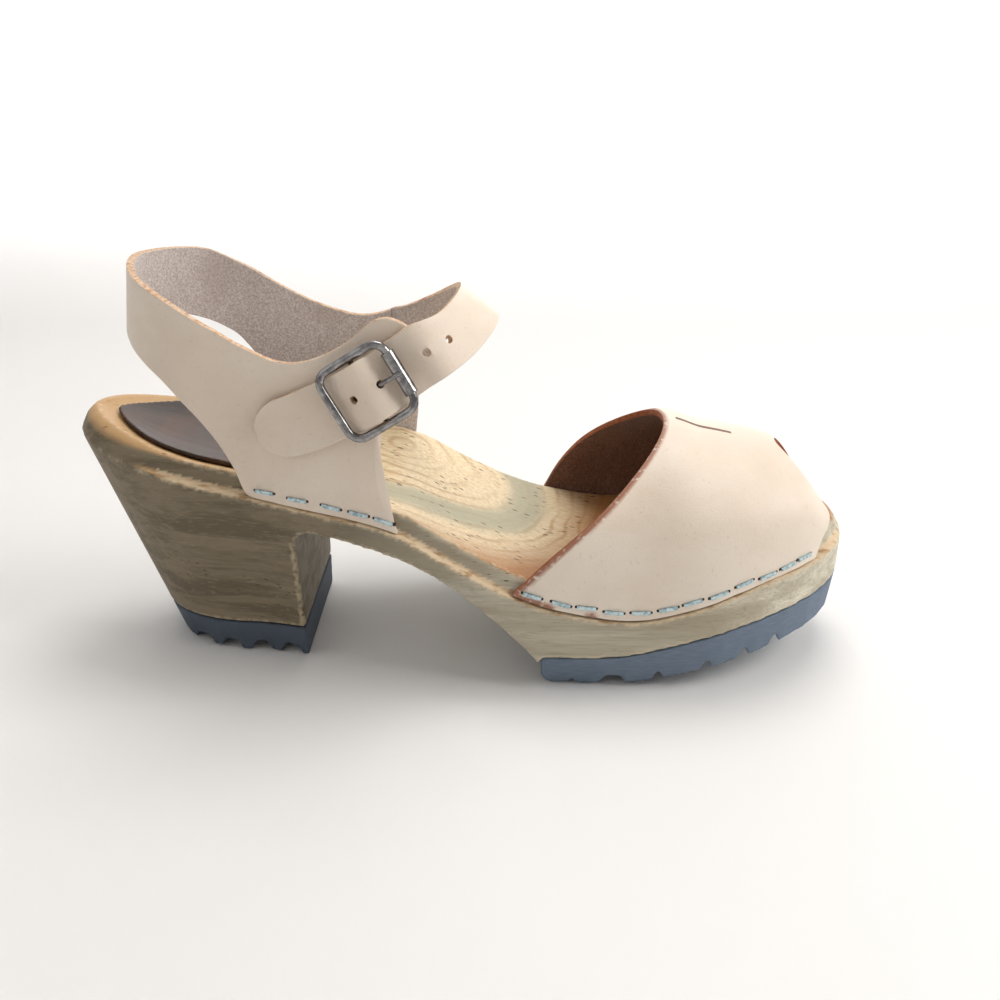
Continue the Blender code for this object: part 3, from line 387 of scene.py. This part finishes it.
# The vamp: one piece of thick vegetable-tanned hide, wet-moulded over the last and stapled
# to the ledge. Smooth outside, raw suede inside, its cut throat burnished red-brown.
HIDE = 0.0022
EDGE_DEPTH = HIDE * 1.35  # a face with more leather than this behind it is a cut edge
VAMP_BACK = 0.09  # skins behind this face away from the ankle, those before it from the toes
TOE_AXIS = ((0.0, 0.16), 0.075)  # span in X and top in Z of the line inside each
ANKLE_AXIS = ((0.004, 0.072), 0.085)
EASED = 0.00035  # width of the eased corner along a cut edge
EASED_TURN = math.radians(65)
BURNISH_WIDTH = 0.0013


def skin_of(piece, may_be_edge=lambda normal: True):
    """Marks each face of a leather piece as outer skin 0, suede 1 or cut edge 2."""
    mesh = piece.data
    tree = tree_of(piece)
    for face in mesh.polygons:
        first = mesh.vertices[face.vertices[0]].co
        depths = []
        for share in (0.0, 0.13, 0.31):
            probe = face.center.lerp(first, share) - face.normal * 0.00005
            back = tree.ray_cast(probe, -face.normal, HIDE * 2.0)
            depths.append(back[3] if back[0] is not None else 1.0)
        if min(depths) > EDGE_DEPTH and may_be_edge(face.normal):
            face.material_index = 2
            continue
        (rear, fore), top = ANKLE_AXIS if face.center.x < VAMP_BACK else TOE_AXIS
        middle = Vector((min(max(face.center.x, rear), fore), 0.0, min(face.center.z, top)))
        outwards = (face.center - middle).dot(face.normal)
        face.material_index = 0 if outwards > 0 else 1


def burnished(piece, chosen, width):
    """Stores how near each point of the piece is to the chosen cut edges, for the burnish
    that runs over on to the skin; a piece with none gets 0 all over."""
    mesh = piece.data
    spots = [face.center for face in mesh.polygons if face.material_index == 2 and chosen(face)]
    near = KDTree(max(len(spots), 1))
    for number, spot in enumerate(spots):
        near.insert(spot, number)
    near.balance()

    def share(co, n):
        return step(near.find(co)[2], width * 1.7, width * 0.8) if spots else 0.0

    grow(piece, "burnish", share)


def leather_piece(node, name):
    """A leather node with its quads found again, its cut edges eased and its curves refined."""
    piece = from_cad(node, name)
    bpy.ops.object.mode_set(mode="EDIT")
    bpy.ops.mesh.select_all(action="SELECT")
    bpy.ops.mesh.dissolve_degenerate(threshold=0.00012)
    bpy.ops.mesh.tris_convert_to_quads(face_threshold=math.radians(40),
                                       shape_threshold=math.radians(60))
    bpy.ops.object.mode_set(mode="OBJECT")
    apply(piece, "BEVEL", width=EASED, segments=1, limit_method="ANGLE", angle_limit=EASED_TURN)
    apply(piece, "SUBSURF", levels=2, render_levels=2)
    bpy.ops.object.shade_smooth()
    return piece


hide, start, at = new_finish("veg_tanned_hide")
pores = start.cells(at, 1250.0).ramp(0.0, 0.55)
wrinkle = start.noise(at, 420.0, 4.0, 0.6)
cloud = start.noise(at, 16.0, 4.0, 0.55)
patch = start.noise(start.stretched(at, (26, 26, 60)), 1.0, 3.0, 0.6)
speckle = start.noise(at, 900.0, 2.0)
colour = start.blend(shade(228, 211, 193), shade(238, 225, 209), cloud.ramp(0.35, 0.65))
colour = start.blend(colour, shade(218, 196, 172), patch.ramp(0.50, 0.75) * 0.35)
colour = start.blend(colour, shade(196, 168, 144), speckle.ramp(0.60, 0.78) * 0.25)
burnish = start.grown("burnish") * start.noise(at, 700.0, 3.0).ramp(0.22, 0.48)
colour = start.blend(colour, shade(150, 84, 50), burnish * 0.9)
dull = 0.40 + 0.14 * cloud + 0.1 * burnish
complete(start, colour, dull, pores * 0.45 + wrinkle * 0.55, 0.00006,
         Specular_IOR_Level=0.45, Coat_Weight=0.1, Coat_Roughness=0.32)

SUEDES = (
    # name, low tuft, high tuft, worn patch
    # The vamp's suede is a darker, browner copy of the quarter's: its darkness is painted shade
    # inside the toe, its brown partly the suede's own.
    ("vamp_suede_painted_shade", shade(104, 72, 56), shade(146, 110, 92), shade(84, 52, 36)),
    ("quarter_suede", shade(186, 172, 166), shade(234, 224, 218), shade(174, 156, 148)),
)
suedes = []
for name, low, tall, worn in SUEDES:
    suede, start, at = new_finish(name)
    nap = start.noise(at, 1500.0, 4.0, 0.7)
    tuft = start.noise(at, 380.0, 3.0, 0.6)
    cloud = start.noise(at, 30.0, 3.0)
    colour = start.blend(low, tall, nap.ramp(0.32, 0.68))
    colour = start.blend(colour, worn, cloud.ramp(0.50, 0.72) * 0.5)
    complete(start, colour, 0.96 - 0.04 * nap, nap * 0.6 + tuft * 0.4, 0.00035,
             Sheen_Weight=0.25, Sheen_Roughness=0.5, Specular_IOR_Level=0.12)
    suedes.append(suede)

cut_edge, start, at = new_finish("raw_cut_edge")
grain = start.noise(at, 900.0, 4.0, 0.7)
burn = start.noise(at, 160.0, 3.0, 0.6)
colour = start.blend(shade(222, 196, 170), shade(190, 140, 100), grain.ramp(0.40, 0.70))
colour = start.blend(colour, shade(150, 92, 56), burn.ramp(0.52, 0.70) * 0.6)
complete(start, colour, 0.85 - 0.1 * grain, grain, 0.00020, Specular_IOR_Level=0.2)

throat_edge, start, at = new_finish("burnished_throat_edge")
grain = start.noise(at, 900.0, 4.0, 0.7)
burn = start.noise(at, 200.0, 3.0, 0.6)
colour = start.blend(shade(160, 92, 54), shade(120, 62, 34), grain.ramp(0.40, 0.70))
colour = start.blend(colour, shade(206, 150, 108), burn.ramp(0.58, 0.74) * 0.7)
complete(start, colour, 0.7 - 0.1 * grain, grain, 0.00015, Specular_IOR_Level=0.3)

vamp = leather_piece("vamp", "vamp_upper")
for finish in (hide, suedes[0], throat_edge):
    vamp.data.materials.append(finish)
skin_of(vamp, lambda normal: abs(normal.x) > 0.35 or normal.z < -0.3)
burnished(vamp, lambda face: face.normal.x < -0.15, BURNISH_WIDTH)
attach(vamp, "root")
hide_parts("vamp")

# The staples: flat steel wire, bluish-white, driven through small punched slots in the
# lower edge of the leather into the ledge. The inner side's throat starts further
# forward, so it has one less.
CROWN = (0.0058, 0.0013, 0.0007)
PUNCHED = (CROWN[0] * 1.30, CROWN[1] * 1.04, 0.0010)
CROWN_LIFT = 0.00030  # the staple's middle over the skin, and the slot's under it
SLOT_SINK = -0.00040
ABOVE_EDGE = 0.0026
LOWEST = 0.020  # the leather's lower edge is looked for from here up
LEVELS = 150
LEVEL_STEP = 0.0004
OUTSIDE = 0.2  # a ray starts this far out and stops just short of the middle
REACH = 0.19
ALONG = 0.0020  # the row's direction is taken over this far to each side
VAMP_STAPLES = (0.0945, 0.1033, 0.1110, 0.1194, 0.1276, 0.1358,
                0.1432, 0.1512, 0.1590, 0.1666, 0.1734, 0.1792)
WING_STAPLES = (0.0136, 0.0238, 0.0341, 0.0425, 0.0500)
steel, start, at = new_finish("galvanised_staple")
dull = start.noise(at, 900.0, 3.0, 0.6)
colour = start.blend(shade(196, 214, 218), shade(140, 164, 174), dull.ramp(0.40, 0.68))
complete(start, colour, 0.30 + 0.2 * dull, dull, 0.00002, Metallic=0.85)
# A dark plate is set into each punched slot: its near-black is painted shade of the hole.
shadow, start, at = new_finish("punched_slot_painted_shadow")
fuzz = start.noise(at, 1200.0, 3.0, 0.6)
colour = start.blend(shade(52, 40, 36), shade(92, 70, 58), fuzz.ramp(0.40, 0.70))
complete(start, colour, 0.9 + 0.05 * fuzz, fuzz, 0.00005)
bpy.ops.object.select_all(action="DESELECT")
bpy.ops.mesh.primitive_cube_add(size=1)
crown = bpy.context.object
bpy.ops.object.mode_set(mode="EDIT")
bpy.ops.transform.resize(value=CROWN)
bpy.ops.mesh.bevel(offset=0.00022, segments=2, affect="EDGES")
bpy.ops.object.mode_set(mode="OBJECT")
bpy.ops.mesh.primitive_cube_add(size=1)
slot_shade_plate = bpy.context.object
bpy.ops.object.mode_set(mode="EDIT")
bpy.ops.transform.resize(value=PUNCHED)
bpy.ops.mesh.bevel(offset=0.0006, segments=3, affect="EDGES", clamp_overlap=True)
bpy.ops.object.mode_set(mode="OBJECT")


def staple_row(leather, name, places):
    """Sets a staple at each place along both sides of a leather piece, over a dark plate in its
    slot: painted shade of the punched hole.
    """
    tree = tree_of(leather)
    made = {"staples": [], "slots": []}
    for side in (-1, 1):

        def skin_at(x, z):
            return tree.ray_cast(Vector((x, side * OUTSIDE, z)), Vector((0, -side, 0)), REACH)

        def above_edge(x):
            for level in range(LEVELS):
                z = LOWEST + level * LEVEL_STEP
                if skin_at(x, z)[0]:
                    break
            return skin_at(x, z + ABOVE_EDGE)

        for x in places:
            spot, out = above_edge(x)[:2]
            if spot is None:
                continue
            ahead = above_edge(x + ALONG)[0] or spot
            behind = above_edge(x - ALONG)[0] or spot
            run = (ahead - behind).normalized()
            if out.y * side < 0:
                out = -out
            rise = out.cross(run).normalized()
            out = run.cross(rise)
            frame_of = Matrix((run, rise, out)).transposed().to_4x4()
            for kind, source, lift in (("staples", crown, CROWN_LIFT), ("slots", slot_shade_plate, SLOT_SINK)):
                copy = source.data.copy()
                copy.transform(Matrix.Translation(spot + out * lift) @ frame_of)
                copy.update()
                made[kind].append(copy)
    for kind, finish in (("staples", steel), ("slots", shadow)):
        bpy.ops.object.select_all(action="DESELECT")
        for mesh in made[kind]:
            one = bpy.data.objects.new("%s_%s" % (name, kind), mesh)
            scene.collection.objects.link(one)
            one.select_set(True)
            bpy.context.view_layer.objects.active = one
        bpy.ops.object.join()
        row = bpy.context.object
        row.name = "%s_%s" % (name, kind)
        bpy.ops.object.shade_smooth_by_angle(angle=math.radians(40))
        row.data.materials.append(finish)
        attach(row, "root")


staple_row(vamp, "vamp", VAMP_STAPLES)

# The quarter: heel band, wings and instep strap in one strip of the same hide, cut with a
# knife press, its strap laid over the foot and through the buckle on the outer side.
quarter = leather_piece("quarter_strap", "quarter_upper")
for finish in (hide, suedes[1], cut_edge):
    quarter.data.materials.append(finish)
skin_of(quarter)
burnished(quarter, lambda face: False, 0.0)
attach(quarter, "root")
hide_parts("quarter_strap")
staple_row(quarter, "wing", WING_STAPLES)
for source in (crown, slot_shade_plate):
    bpy.data.objects.remove(source)

# The buckle: cast frame with a roller on the toe side and a prong on the centre bar,
# nickel-plated and polished, held by a riveted leather tab under the strap.
BUCKLE_VOXEL = 0.00018
BUCKLE_PARTS = (
    ("buckle_frame", "frame_wire"),
    ("buckle_roller", "roller"),
    ("buckle_prong", "prong"),
)
nickel, start, at = new_finish("polished_nickel")
haze = start.noise(at, 300.0, 3.0, 0.6)
fine = start.noise(start.stretched(at, (900, 900, 5000)), 1.0, 2.0)
colour = start.blend(shade(112, 111, 112), shade(164, 163, 163), haze.ramp(0.35, 0.65))
complete(start, colour, 0.08 + 0.10 * haze, fine, 0.00001, Metallic=1.0)
for node, name in BUCKLE_PARTS:
    part = from_cad(node, name)
    if node != "buckle_prong":
        apply(part, "REMESH", mode="VOXEL", voxel_size=BUCKLE_VOXEL)
        apply(part, "SMOOTH", factor=0.5, iterations=6)
    else:
        apply(part, "SUBSURF", levels=2, render_levels=2)
    bpy.ops.object.shade_smooth()
    part.data.materials.append(nickel)
    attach(part, "root")
    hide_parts(node)
tab = from_cad("buckle_tab", "buckle_keeper_tab")
apply(tab, "BEVEL", width=0.00012, segments=2, limit_method="ANGLE",
      angle_limit=math.radians(40))
bpy.ops.object.shade_smooth()
tab.data.materials.append(hide)
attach(tab, "root")
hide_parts("buckle_tab")

# The rivet: tubular brass, its open rolled head inside the shoe and its plain cap
# under the strap.
brass, start, at = new_finish("aged_brass")
tarnish = start.noise(at, 700.0, 4.0, 0.6)
colour = start.blend(shade(168, 138, 78), shade(96, 74, 40), tarnish.ramp(0.42, 0.68))
complete(start, colour, 0.28 + 0.25 * tarnish, tarnish, 0.00003, Metallic=1.0)
rivet = from_cad("rivet", "rivet_head")
apply(rivet, "BEVEL", width=0.0001, segments=2, limit_method="ANGLE",
      angle_limit=math.radians(35))
bpy.ops.object.shade_smooth()
rivet.data.materials.append(brass)
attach(rivet, "root")
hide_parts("rivet")
